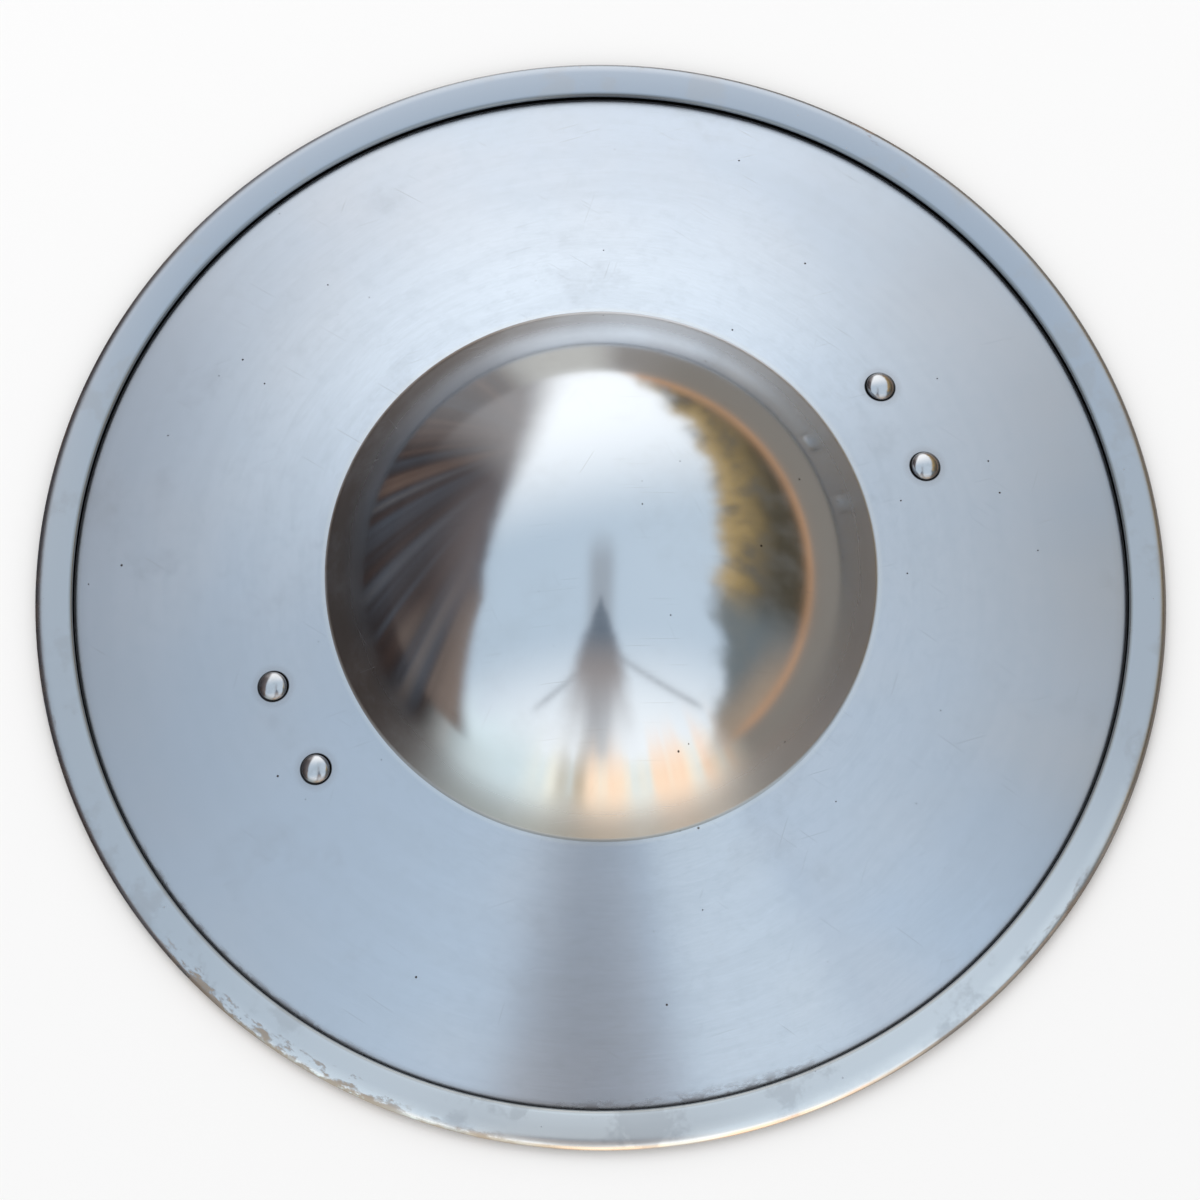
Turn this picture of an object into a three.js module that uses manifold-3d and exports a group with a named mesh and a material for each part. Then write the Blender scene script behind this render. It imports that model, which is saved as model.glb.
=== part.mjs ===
// Buckler shield: one dished steel sheet with a domed boss and a folded rim,
// a strap grip across the hollow of the boss behind, and the rivets that hold it.
// Millimetres. +Z points out of the front and the grip lies along X.
// The origin is the middle of the ring that the rim's underside rests on.

import * as THREE from 'three';
import { mergeVertices } from 'three/addons/utils/BufferGeometryUtils.js';
import Module from 'manifold-3d';

// Driving dimensions of the sheet
const SHIELD_RADIUS = 150;
const SHEET = 1.5;
const BOSS_BASE_RADIUS = 72.5;
const BOSS_TOP_RADIUS = 77;
const BOSS_WALL_ANGLE = 53.5;
const CREASE_RADIUS = 2.2;
const DISH_RADIUS = 498;
const DISH_EDGE_RADIUS = 136.9;
const STEP_ANGLE = 62;
const STEP_OUTER_BEND = 2.4;
const STEP_INNER_BEND = 1.4;
const FOLD_BEND = 1.35;
const BAND_WIDTH = 10;
const BAND_CROWN_ANGLE = 4;

// Driving dimensions of the grip and its rivets
const RIVET_X = 90;
const RIVET_Y = 12.5;
const SHANK_RADIUS = 2;
const HEAD_RADIUS = 3.9;
const HEAD_HEIGHT = 2.1;
const TAIL_RADIUS = 3.4;
const TAIL_HEIGHT = 1.5;
const GRIP_LENGTH = 208;
const GRIP_THICKNESS = 2.4;
const GRIP_HEIGHT = 11.6; // of the middle of the bar's thickness
const PAD_HALF_WIDTH = 20;
const PAD_CORNER = 6;
const BAR_HALF_BLANK = 16;
const ROLL_END = 42;
const FLAT_START = 64;
const LEVEL_END = 56;
const PAD_START = 76;
const LAND_HALF_WIDTH = 8;
const EDGE_ROLL_RADIUS = 6;
const GAP = 0.3;
const DRILL_LENGTH = 20;
const NEARLY_FLAT = 1e-6;

// Facets round each turned piece, and steps along each bend
const SHIELD_FACETS = 60;
const BEND_STEPS = { bossTop: 6, crease: 3, dish: 4, step: 2, fold: 6, band: 2, tail: 3, head: 4 };
const RIVET_FACETS = 12;
const HOLE_FACETS = 16;
const GRIP_STEPS = 32;
const GRIP_STEPS_ACROSS = 8;

const HALF_SHEET = SHEET / 2;
const HALF_GRIP = GRIP_THICKNESS / 2;
const MID_DISH_RADIUS = DISH_RADIUS - HALF_SHEET;
const radians = THREE.MathUtils.degToRad;

const wasm = await Module();
wasm.setup();

const plateSteel = new THREE.MeshStandardMaterial({ color: 0xb4bcc6, roughness: 0.34, metalness: 1 });
const gripSteel = new THREE.MeshStandardMaterial({ color: 0x8f949b, roughness: 0.5, metalness: 1 });
const rivetSteel = new THREE.MeshStandardMaterial({ color: 0xa8adb4, roughness: 0.4, metalness: 1 });

// A closed geometry with shared corners merged, and no triangle folded flat on a pole.
function weld(geometry) {
  geometry.deleteAttribute('normal');
  geometry.deleteAttribute('uv');
  const merged = mergeVertices(geometry);
  const corners = merged.getIndex().array;
  const kept = [];
  for (let i = 0; i < corners.length; i += 3) {
    const [a, b, c] = corners.slice(i, i + 3);
    if (a !== b && b !== c && c !== a) kept.push(a, b, c);
  }
  merged.setIndex(kept);
  return merged;
}

function toSolid(geometry) {
  const welded = weld(geometry);
  return new wasm.Manifold(new wasm.Mesh({
    numProp: 3,
    vertProperties: new Float32Array(welded.getAttribute('position').array),
    triVerts: new Uint32Array(welded.getIndex().array),
  }));
}

function toGeometry(solid) {
  const mesh = solid.getMesh();
  const geometry = new THREE.BufferGeometry();
  geometry.setAttribute('position', new THREE.BufferAttribute(new Float32Array(mesh.vertProperties), 3));
  geometry.setIndex(Array.from(mesh.triVerts));
  geometry.computeVertexNormals();
  return geometry;
}

// The line through the middle of a bent sheet: each call adds a straight or an arc that
// starts where the last one ended, in the same direction. A positive turn bends upwards.
class SheetLine {
  constructor() {
    this.r = 0;
    this.z = 0;
    this.heading = 0;
    this.points = [{ r: 0, z: 0, heading: 0 }];
  }

  mark() {
    this.points.push({ r: this.r, z: this.z, heading: this.heading });
  }

  straight(length) {
    this.r += length * Math.cos(this.heading);
    this.z += length * Math.sin(this.heading);
    this.mark();
  }

  arc(radius, turn, steps) {
    const stepTurn = turn / steps;
    const chord = 2 * radius * Math.sin(Math.abs(stepTurn) / 2);
    for (let i = 0; i < steps; i++) {
      this.heading += stepTurn / 2;
      this.r += chord * Math.cos(this.heading);
      this.z += chord * Math.sin(this.heading);
      this.heading += stepTurn / 2;
      this.mark();
    }
  }
}

// Half section of the shield, from the top of the boss out to the rim and back along the fold.
function shieldLine() {
  const line = new SheetLine();
  const wall = radians(BOSS_WALL_ANGLE);
  const dishStart = Math.asin(BOSS_BASE_RADIUS / MID_DISH_RADIUS);
  const dishEnd = Math.asin(DISH_EDGE_RADIUS / MID_DISH_RADIUS);
  const step = radians(STEP_ANGLE);
  const crown = radians(BAND_CROWN_ANGLE);

  line.arc(BOSS_TOP_RADIUS, -wall, BEND_STEPS.bossTop);
  const creaseReach = CREASE_RADIUS * (Math.sin(wall) - Math.sin(dishStart));
  line.straight((BOSS_BASE_RADIUS - creaseReach - line.r) / Math.cos(wall));
  line.arc(CREASE_RADIUS, wall - dishStart, BEND_STEPS.crease);
  line.arc(MID_DISH_RADIUS, dishStart - dishEnd, BEND_STEPS.dish);
  const dishCentre = line.z - MID_DISH_RADIUS * Math.cos(dishEnd);

  line.arc(STEP_OUTER_BEND, dishEnd - step, BEND_STEPS.step);
  line.arc(STEP_INNER_BEND, step, BEND_STEPS.step);
  line.straight(SHIELD_RADIUS - HALF_SHEET - FOLD_BEND - line.r);
  const lift = HALF_SHEET - line.z;
  line.arc(FOLD_BEND, Math.PI - crown, BEND_STEPS.fold);
  const bandReach = line.r - (SHIELD_RADIUS - BAND_WIDTH + HALF_SHEET);
  line.arc(bandReach / Math.sin(crown), crown, BEND_STEPS.band);

  for (const point of line.points) point.z += lift;
  return { points: line.points, dishCentre: dishCentre + lift };
}

// The outline of the sheet: out along its back, round the end of the lip, home along its front.
function shieldOutline(points) {
  const offset = (point, side) => new THREE.Vector2(
    point.r - side * HALF_SHEET * Math.sin(point.heading),
    point.z + side * HALF_SHEET * Math.cos(point.heading),
  );
  const lip = points[points.length - 1];
  const lipEnd = [-60, 0, 60].map((degrees) => new THREE.Vector2(
    lip.r + HALF_SHEET * Math.cos(lip.heading + radians(degrees)),
    lip.z + HALF_SHEET * Math.sin(lip.heading + radians(degrees)),
  ));
  const back = points.map((point) => offset(point, -1));
  const front = points.map((point) => offset(point, 1)).reverse();
  return [...back, ...lipEnd, ...front];
}

function lathe(outline, facets) {
  const geometry = new THREE.LatheGeometry(outline, facets);
  geometry.rotateX(Math.PI / 2);
  return geometry;
}

const section = shieldLine();

// The places of the rivets: on the middle of the dished sheet, square to it.
const rivetPlaces = [];
for (const side of [1, -1]) {
  for (const end of [1, -1]) {
    const height = Math.sqrt(MID_DISH_RADIUS ** 2 - RIVET_X ** 2 - RIVET_Y ** 2);
    const position = new THREE.Vector3(side * RIVET_X, end * RIVET_Y, section.dishCentre + height);
    const normal = new THREE.Vector3(side * RIVET_X, end * RIVET_Y, height).normalize();
    const turn = new THREE.Quaternion().setFromUnitVectors(new THREE.Vector3(0, 0, 1), normal);
    rivetPlaces.push({ position, turn });
  }
}

// Cuts a round hole for each rivet's shank, with clearance, square to the dish.
function drillRivetHoles(solid) {
  let drilled = solid;
  for (const { position, turn } of rivetPlaces) {
    const holeRadius = SHANK_RADIUS + GAP;
    const drill = new THREE.CylinderGeometry(holeRadius, holeRadius, DRILL_LENGTH, HOLE_FACETS);
    drill.rotateX(Math.PI / 2);
    drill.applyQuaternion(turn);
    drill.translate(position.x, position.y, position.z);
    drilled = drilled.subtract(toSolid(drill));
  }
  return drilled;
}

function shieldBody() {
  const sheet = toSolid(lathe(shieldOutline(section.points), SHIELD_FACETS));
  const mesh = new THREE.Mesh(toGeometry(drillRivetHoles(sheet)), plateSteel);
  mesh.name = 'shield_body';
  return mesh;
}

// Half the width of the flat blank that the grip is bent from, at a place along it.
function blankHalfWidth(x) {
  const along = Math.abs(x);
  const flare = THREE.MathUtils.smoothstep(along, ROLL_END, PAD_START);
  const width = THREE.MathUtils.lerp(BAR_HALF_BLANK, PAD_HALF_WIDTH, flare);
  const pastCorner = along - (GRIP_LENGTH / 2 - PAD_CORNER);
  if (pastCorner <= 0) return width;
  return width - PAD_CORNER + Math.sqrt(Math.max(0, PAD_CORNER ** 2 - pastCorner ** 2));
}

// Moves a point of the flat blank to its place on the bent grip: across runs from -1 to 1 over
// the blank's width, and depth is measured up from the middle of its thickness. The edges of
// the bar roll up towards the boss, and the pads lie along the back of the dish.
function bendGrip(x, across, depth) {
  const flat = THREE.MathUtils.smoothstep(Math.abs(x), ROLL_END, FLAT_START);
  const pad = THREE.MathUtils.smoothstep(Math.abs(x), LEVEL_END, PAD_START);
  const fromMiddle = Math.abs(across) * blankHalfWidth(x);
  const curl = (1 - flat) / EDGE_ROLL_RADIUS;
  const rolled = Math.max(0, fromMiddle - LAND_HALF_WIDTH);
  const angle = curl * rolled;
  const out = curl > NEARLY_FLAT ? Math.sin(angle) / curl : rolled;
  const up = curl > NEARLY_FLAT ? (1 - Math.cos(angle)) / curl : 0;
  const y = Math.min(fromMiddle, LAND_HALF_WIDTH) + out - depth * Math.sin(angle);
  const padRadius = MID_DISH_RADIUS - HALF_SHEET - GAP - HALF_GRIP;
  const padHeight = section.dishCentre + Math.sqrt(padRadius ** 2 - x ** 2 - y ** 2);
  const height = THREE.MathUtils.lerp(GRIP_HEIGHT, padHeight, pad);
  return [x, Math.sign(across) * y, height + up + depth * Math.cos(angle)];
}

function handGrip() {
  const blank = new THREE.BoxGeometry(Math.PI, 2, GRIP_THICKNESS, GRIP_STEPS, GRIP_STEPS_ACROSS, 1);
  const place = blank.getAttribute('position');
  for (let i = 0; i < place.count; i++) {
    const x = (GRIP_LENGTH / 2) * Math.sin(place.getX(i));
    place.setXYZ(i, ...bendGrip(x, place.getY(i), place.getZ(i)));
  }
  const mesh = new THREE.Mesh(toGeometry(drillRivetHoles(toSolid(blank))), gripSteel);
  mesh.name = 'hand_grip';
  return mesh;
}

// A dome from its edge up to the axis, or down to it when height is negative.
function domeOutline(radius, base, height, steps) {
  const outline = [];
  for (let i = 0; i <= steps; i++) {
    const angle = (i / steps) * (Math.PI / 2);
    outline.push(new THREE.Vector2(radius * Math.cos(angle), base + height * Math.sin(angle)));
  }
  outline[steps].x = 0;
  return outline;
}

function gripRivet(place, number) {
  const headBase = HALF_SHEET + GAP;
  const tailBase = -(HALF_SHEET + GAP + GRIP_THICKNESS + GAP);
  const tail = domeOutline(TAIL_RADIUS, tailBase, -TAIL_HEIGHT, BEND_STEPS.tail).reverse();
  const head = domeOutline(HEAD_RADIUS, headBase, HEAD_HEIGHT, BEND_STEPS.head);
  const shank = [new THREE.Vector2(SHANK_RADIUS, tailBase), new THREE.Vector2(SHANK_RADIUS, headBase)];
  const solid = toSolid(lathe([...tail, ...shank, ...head], RIVET_FACETS));
  const mesh = new THREE.Mesh(toGeometry(solid), rivetSteel);
  mesh.name = `grip_rivet_${number}`;
  mesh.position.copy(place.position);
  mesh.quaternion.copy(place.turn);
  return mesh;
}

const buckler = new THREE.Group();
buckler.add(shieldBody(), handGrip());
rivetPlaces.forEach((place, index) => buckler.add(gripRivet(place, index + 1)));

export default buckler;
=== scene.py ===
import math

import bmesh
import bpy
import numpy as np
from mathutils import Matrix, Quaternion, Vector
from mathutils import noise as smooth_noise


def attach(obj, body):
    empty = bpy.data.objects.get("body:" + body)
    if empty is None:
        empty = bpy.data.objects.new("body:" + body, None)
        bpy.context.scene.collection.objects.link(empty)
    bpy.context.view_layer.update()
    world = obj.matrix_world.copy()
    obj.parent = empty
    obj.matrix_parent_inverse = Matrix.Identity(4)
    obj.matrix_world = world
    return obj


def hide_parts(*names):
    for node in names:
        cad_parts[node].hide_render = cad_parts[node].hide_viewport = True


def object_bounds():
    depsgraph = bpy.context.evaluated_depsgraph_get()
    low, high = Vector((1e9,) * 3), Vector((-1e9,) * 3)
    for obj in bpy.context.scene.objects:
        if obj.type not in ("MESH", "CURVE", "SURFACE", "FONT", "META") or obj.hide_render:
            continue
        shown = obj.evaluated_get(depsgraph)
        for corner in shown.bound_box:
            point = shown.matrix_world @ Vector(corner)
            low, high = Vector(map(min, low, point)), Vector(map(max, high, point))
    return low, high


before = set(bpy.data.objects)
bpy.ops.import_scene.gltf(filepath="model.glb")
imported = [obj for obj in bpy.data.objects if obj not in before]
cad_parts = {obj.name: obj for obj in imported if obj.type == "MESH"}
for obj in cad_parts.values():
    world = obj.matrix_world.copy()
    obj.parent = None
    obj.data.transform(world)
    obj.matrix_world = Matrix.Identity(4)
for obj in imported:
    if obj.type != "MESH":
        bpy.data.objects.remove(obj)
cad_low, cad_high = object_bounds()

# %% [markdown]
# # A steel buckler, made again as a fine model
# A buckler is a small round shield that is held in the fist. This one is a single steel sheet:
# a shallow dish with a domed boss pressed out of its middle and its edge folded forward into a
# flat band. A strap grip crosses the hollow of the boss behind, and four rivets hold it.
# The frame above is the measured model that the pieces have to match. This lesson makes each
# piece again with fine surfaces, in the same place and size, and gives each its finish.

MM = 0.001
print("measured model, in metres:", [round(c, 4) for c in (*cad_low, *cad_high)])

# %% [markdown]
# ## The view
# The shield lies face up, and the camera leans over it from about a metre away. Everything that
# is placed "as the viewer sees it" (flags, stains) is given by a clock angle: 0 is to the
# viewer's right and 90 is away from the viewer. The grip runs at 29 degrees in that clock, so
# the camera stands at azimuth -29 in the shield's own frame. A long lens keeps the circle round.

# %% Camera
VIEW_AZIMUTH = math.radians(-29.0)
VIEW_LEAN = math.radians(16.44)
VIEW_ROLL = math.radians(1.63)
VIEW_DISTANCE = 1.2
VIEW_LENS = 135.4
VIEW_SHIFT = (-0.001, -0.0076)

view_right = Vector((math.cos(VIEW_AZIMUTH), math.sin(VIEW_AZIMUTH), 0))
view_away = Vector((-math.sin(VIEW_AZIMUTH), math.cos(VIEW_AZIMUTH), 0))
view_back = Vector((0, 0, math.cos(VIEW_LEAN))) - view_away * math.sin(VIEW_LEAN)

camera = bpy.data.objects.new("camera", bpy.data.cameras.new("camera"))
bpy.context.scene.collection.objects.link(camera)
camera.data.lens = VIEW_LENS
camera.data.shift_x, camera.data.shift_y = VIEW_SHIFT
camera.data.clip_start = 0.01
camera.location = view_back * VIEW_DISTANCE
camera.rotation_mode = "QUATERNION"
view_up = view_back.cross(view_right)
aim = Matrix((view_right, view_up, view_back)).transposed().to_quaternion()
camera.rotation_quaternion = aim @ Quaternion((0, 0, 1), VIEW_ROLL)
bpy.context.scene.camera = camera
print("camera at", [round(c, 3) for c in camera.location])

# %% [markdown]
# ## Node trees written as sums
# Materials, the sky and the Geometry Nodes trees below are all made of nodes. Wiring nodes one by
# one hides what they work out, so a small class wraps a socket and lets Python's own operators add
# the Math nodes: `1 - mask` is a Subtract node. Every other node comes from one method, `node`,
# which takes the node's type, its settings and the values or links of its sockets.

# %% Sockets with operators
class Term:
    def __init__(self, tree, socket):
        self.tree = tree
        self.socket = socket

    def math(self, operation, *terms):
        return self.tree.node("ShaderNodeMath", {"operation": operation}, dict(enumerate(terms)))

    def __add__(self, other):
        return self.math("ADD", self, other)

    def __radd__(self, other):
        return self.math("ADD", other, self)

    def __sub__(self, other):
        return self.math("SUBTRACT", self, other)

    def __rsub__(self, other):
        return self.math("SUBTRACT", other, self)

    def __mul__(self, other):
        return self.math("MULTIPLY", self, other)

    def __rmul__(self, other):
        return self.math("MULTIPLY", other, self)

    def __truediv__(self, other):
        return self.math("DIVIDE", self, other)

    def __abs__(self):
        return self.math("ABSOLUTE", self)

    def most(self, other):
        return self.math("MAXIMUM", self, other)

    def rise(self, low, high):
        """0 before low, 1 past high and smooth between. With high below low it falls."""
        settings = {"interpolation_type": "SMOOTHSTEP"}
        swapped = not isinstance(high, Term) and low > high
        ends = {1: high, 2: low} if swapped else {1: low, 2: high}
        up = self.tree.node("ShaderNodeMapRange", settings, {0: self, **ends})
        return 1 - up if swapped else up


class Tree:
    def __init__(self, nodes_and_links):
        self.tree = nodes_and_links
        self.tree.nodes.clear()

    def node(self, kind, settings=None, values=None, output=0):
        made = self.tree.nodes.new(kind)
        for name, value in (settings or {}).items():
            if name == "stops":
                set_stops(made.color_ramp, value)
            else:
                setattr(made, name, value)
        for name, value in (values or {}).items():
            self.plug(made.inputs[name], value)
        return Term(self, made.outputs[output]) if len(made.outputs) else made

    def plug(self, socket, value):
        if isinstance(value, Term):
            self.tree.links.new(value.socket, socket)
        else:
            socket.default_value = value

    def vector(self, operation, *terms, output=0):
        values = dict(enumerate(terms))
        return self.node("ShaderNodeVectorMath", {"operation": operation}, values, output)

    def mix(self, factor, first, second):
        settings = {"data_type": "RGBA"}
        return self.node("ShaderNodeMix", settings, {0: factor, 6: first, 7: second}, 2)

    def noise(self, vector, scale, detail=3.0, roughness=0.5):
        values = {"Vector": vector, "Scale": scale, "Detail": detail, "Roughness": roughness}
        return self.node("ShaderNodeTexNoise", {}, values)


def set_stops(ramp, stops):
    while len(ramp.elements) < len(stops):
        ramp.elements.new(1.0)
    for element, (position, colour) in zip(ramp.elements, stops):
        element.position = position
        element.color = (*colour, 1.0)


def clock(degrees):
    """The direction at that clock angle, in the shield's own frame."""
    angle = math.radians(degrees)
    return view_right * math.cos(angle) + view_away * math.sin(angle)


print("clock 29 is the grip's direction:", [round(c, 3) for c in clock(29)])

# %% [markdown]
# ## The stage
# Steel has hardly any colour of its own: it shows what stands round it. Whoever lights polished
# metal in a studio builds a tent of soft white light and hangs dark flags in it, so that the curves
# read. Here the tent is the world shader. A long brown flag hangs on the left and a mottled olive
# one on the right, with a lane of pale sky between them that ends in a bright glow on the far
# side. A slim grey flag stands behind the camera's place. Only mirror rays see all this: whatever
# is matt is lit by plain soft white.

# %% Colours of the tent
WHITE = (1.0, 1.0, 1.0, 1.0)
# The roof, and the cords under it
SKY_TOP_LEFT = (0.67, 0.79, 0.905, 1.0)
SKY_TOP_RIGHT = (0.72, 0.835, 0.945, 1.0)
SKY_NEAR = (1.36, 1.38, 1.38, 1.0)
SKY_FAR = (1.47, 1.48, 1.48, 1.0)
CORD_GREY = (0.35, 0.36, 0.38, 1.0)
# The left flag, whose lower half is streaked from brown to slate
WALL_STREAKS = ((0.36, (0.24, 0.165, 0.13)), (0.44, (0.09, 0.058, 0.048)), (0.5, (0.045, 0.036, 0.036)),
                (0.56, (0.09, 0.1, 0.12)), (0.64, (0.24, 0.2, 0.175)))
WALL_EDGE = (0.13, 0.11, 0.115, 1.0)
WALL_PALE = (0.19, 0.16, 0.158, 1.0)
WALL_HAZE = (0.5, 0.47, 0.46, 1.0)
WALL_SUNLIT = (0.31, 0.24, 0.2, 1.0)
# The right flag
OLIVE = (0.085, 0.072, 0.048, 1.0)
OLIVE_GREY = (0.15, 0.14, 0.12, 1.0)
YELLOW_LEAF = (0.6, 0.42, 0.18, 1.0)
EMBER = (0.75, 0.41, 0.22, 1.0)
SLATE = (0.2, 0.24, 0.26, 1.0)
DUSTY = (0.46, 0.36, 0.27, 1.0)
# The ground, and the warm cloth of the near end
GROUND_GREY = (0.3, 0.27, 0.235, 1.0)
GROUND_FAR = (0.85, 0.83, 0.77, 1.0)
CREAM = (1.6, 1.36, 0.98, 1.0)
PEACH = (1.5, 1.02, 0.71, 1.0)
TAN = (0.6, 0.5, 0.36, 1.0)
NEAR_BLUE = (1.0, 1.14, 1.16, 1.0)
print("brightest card of the tent:", SKY_FAR[:3])

# %% [markdown]
# A tent is easiest to hang by directions. `towards` tells how nearly a mirror ray runs in one
# direction, `bearing` tells the same on the level, and smooth steps of those numbers make the
# soft edges of the cards. Two noises make those edges ragged and draw streaks round the tent.

# %% Where a mirror ray looks
NEAR_SIDE_START = 0.15


def seen_at(clock_degrees, lean_degrees):
    """The direction at that clock angle, leaning that far from straight up."""
    lean = math.radians(lean_degrees)
    return clock(clock_degrees) * math.sin(lean) + Vector((0, 0, math.cos(lean)))


class LightTent(Tree):
    """The world's shader tree, and which way the mirror ray looks in it."""
    def __init__(self, world):
        super().__init__(world.node_tree)
        self.look = self.node("ShaderNodeTexCoord", output="Generated")
        self.right = self.towards(view_right)
        self.away = self.towards(view_away)
        self.up = self.towards((0, 0, 1))
        self.around = self.vector("NORMALIZE", self.vector("MULTIPLY", self.look, (1, 1, 0)))
        self.near_side = (self.away * -1).most(NEAR_SIDE_START) - NEAR_SIDE_START
        self.rag = self.noise(self.look, scale=6.0, detail=5.0, roughness=0.6) - 0.5
        self.streaks = self.noise(self.around, scale=12.0, detail=4.0, roughness=0.6)

    def towards(self, direction):
        """1 where the ray runs in that direction, falling to -1 opposite."""
        return self.vector("DOT_PRODUCT", self.look, direction, output="Value")

    def bearing(self, degrees):
        """1 where the ray's level direction is that clock angle, falling to -1 opposite."""
        return self.vector("DOT_PRODUCT", self.around, clock(degrees), output="Value")


tent_world = bpy.data.worlds.new("light_tent")
tent_world.use_nodes = True
bpy.context.scene.world = tent_world
tent = LightTent(tent_world)
print("straight up is", [round(c, 2) for c in seen_at(0, 0)])

# %% [markdown]
# ### The roof and the near end
# The roof is pale blue-white cloth, brightest at the far end. The near end is lit warm from
# below, in streaks that reach up to different heights. Two thin cords and a faint grey strip
# hang there too. A cord is given by its two ends, each as a clock angle and a lean from the top.

# %% Roof and near end
CORDS = ((seen_at(278, 33), seen_at(312, 70)), (seen_at(261, 40), seen_at(243, 64)))
CORD_HALF = 0.026
CORD_CORE = 0.004
CORD_SHARE = 0.8
STRIP_SHARE = 0.6
# Clock angles of the bright ends of the roof and of the cloth's stretches
FAR_GLOW = 103
NEAR_GLOW = 274
NEAR_END = 265
PEACH_SIDE = 291
WARM_SIDE = 295
TAN_STREAK = 262


def cord_mask(start, end):
    """1 on a thin line from one direction to the other."""
    middle = (start + end).normalized()
    beside = tent.towards(start.cross(end).normalized())
    nearness = middle.dot(end)
    between = tent.towards(middle).rise(nearness - 0.01, nearness + 0.03)
    return abs(beside).rise(CORD_HALF, CORD_CORE) * between


def sunny_cloth():
    """Peach streaks on cream, with one tan streak, all on cooler cloth."""
    cloth = tent.mix(tent.streaks.rise(0.3, 0.65), CREAM, PEACH)
    cloth = tent.mix(tent.bearing(PEACH_SIDE).rise(0.8, 0.95), CREAM, cloth)
    cloth = tent.mix(tent.bearing(TAN_STREAK).rise(0.994, 0.999) * 0.8, cloth, TAN)
    warm = tent.bearing(WARM_SIDE).rise(0.62, 0.9) * tent.streaks.rise(0.25, 0.55)
    return tent.mix(warm, NEAR_BLUE, cloth)


def hang_roof(near_end, cloth):
    """The sky with its two glows, the strip, the warm cloth and the cords."""
    sky = tent.mix(tent.right.rise(-0.5, 0.5), SKY_TOP_LEFT, SKY_TOP_RIGHT)
    sky = tent.mix(tent.towards(clock(FAR_GLOW)).rise(0.2, 1.0), sky, SKY_FAR)
    sky = tent.mix(tent.towards(clock(NEAR_GLOW)).rise(0.36, 1.05), sky, SKY_NEAR)
    strip = abs(tent.right).rise(0.13, 0.03) * tent.away.rise(0.3, 0.0)
    sky = tent.mix(strip * STRIP_SHARE, sky, CORD_GREY)
    low_down = tent.up.rise(0.3, 0.0) * 0.4
    reach = (tent.streaks + low_down).rise(0.4, 0.6)
    sky = tent.mix(near_end * tent.up.rise(0.5, 0.0) * reach, sky, cloth)
    for start, end in CORDS:
        sky = tent.mix(cord_mask(start, end) * CORD_SHARE, sky, CORD_GREY)
    return sky


near_end = tent.bearing(NEAR_END).rise(0.55, 0.85)
sunny = sunny_cloth()
roof = hang_roof(near_end, sunny)
print("roof hung with", len(CORDS), "cords")

# %% [markdown]
# ### The long flags
# The left flag is brown and slate cloth, and it fades into haze at the far end. Its streaks are
# meant to look straight on the boss, so they are drawn by the half direction: the way the steel
# has to face to mirror that part of the tent towards the camera's fixed place. The right flag is
# mottled olive with yellow patches along its upper edge, slate at its near end, and an
# ember-coloured line glows along its foot.

# %% Left and right flags
FAN_POINT = view_right * -0.21 + view_away * 0.3
# Clock angles of the patches of the left flag, and then of the right flag
SUNLIT_PATCH = 211
HAZY_END = 104
GOLDEN_PATCH = 22
SLATE_END = 328
EMBER_SIDE = 28


def hang_left_flag(sky, fans, streaked):
    """Brown cloth where bank is above 0: on the left, below an edge that drops at the near end."""
    far = tent.away.most(0.0)
    bank = tent.right * -1 + tent.away * (tent.up * 0.75 - 0.24) - tent.up * 1.03
    bank = bank - tent.near_side * (1.5 - tent.up * 1.3) + tent.rag * 0.06
    wall = tent.mix(bank.rise(0.02, 0.16), WALL_EDGE, WALL_PALE)
    wall = tent.mix(tent.up.rise(0.72, 0.25) * 0.9, wall, streaked)
    sunlit = tent.bearing(SUNLIT_PATCH).rise(0.86, 0.99) * fans.rise(0.56, 0.44)
    wall = tent.mix(sunlit * 0.7, wall, WALL_SUNLIT)
    wall = tent.mix(tent.bearing(HAZY_END).rise(0.8, 1.0) * 0.85, wall, WALL_HAZE)
    soft = tent.near_side * 0.15
    return tent.mix(bank.rise(far * -0.1 - soft - 0.03, far * 0.1 + soft + 0.04), sky, wall)


def hang_right_flag(sky):
    """Mottled cloth where bank is above 0: on the right, below a ragged edge."""
    bank = tent.right - tent.away * 0.11 - tent.up * 1.05 - tent.near_side + tent.rag * 0.4
    leaves_at = tent.vector("ADD", tent.around, tent.vector("MULTIPLY", tent.look, (0, 0, 0.8)))
    leaves = tent.noise(leaves_at, scale=6.0, detail=8.0, roughness=0.7)
    cloth = tent.mix(leaves.rise(0.55, 0.35), OLIVE, OLIVE_GREY)
    gold = leaves + tent.bearing(GOLDEN_PATCH).rise(0.5, 1.0) * 0.1
    cloth = tent.mix(gold.rise(0.42, 0.66) * bank.rise(0.6, 0.0), cloth, YELLOW_LEAF)
    cloth = tent.mix(tent.bearing(SLATE_END).rise(0.84, 0.97) * 0.85, cloth, SLATE)
    cloth = tent.mix(tent.away.rise(-0.05, -0.5) * tent.up.rise(0.4, 0.1), cloth, DUSTY)
    cloth = tent.mix(tent.up.rise(0.1, 0.0) * tent.bearing(EMBER_SIDE).rise(0.2, 0.5), cloth, EMBER)
    return tent.mix(bank.rise(-0.12, 0.08) * tent.away.rise(-0.86, -0.68), sky, cloth)


half_way = tent.vector("NORMALIZE", tent.vector("ADD", tent.look, view_back))
from_point = tent.vector("MULTIPLY", tent.vector("SUBTRACT", half_way, FAN_POINT), (1, 1, 0))
fans = tent.noise(tent.vector("NORMALIZE", from_point), scale=4.5, detail=4.0, roughness=0.6)
streaked = tent.node("ShaderNodeValToRGB", {"stops": WALL_STREAKS}, {0: fans})
walls = hang_right_flag(hang_left_flag(roof, fans, streaked))
print("left flag fans out from", [round(c, 2) for c in FAN_POINT])

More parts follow.
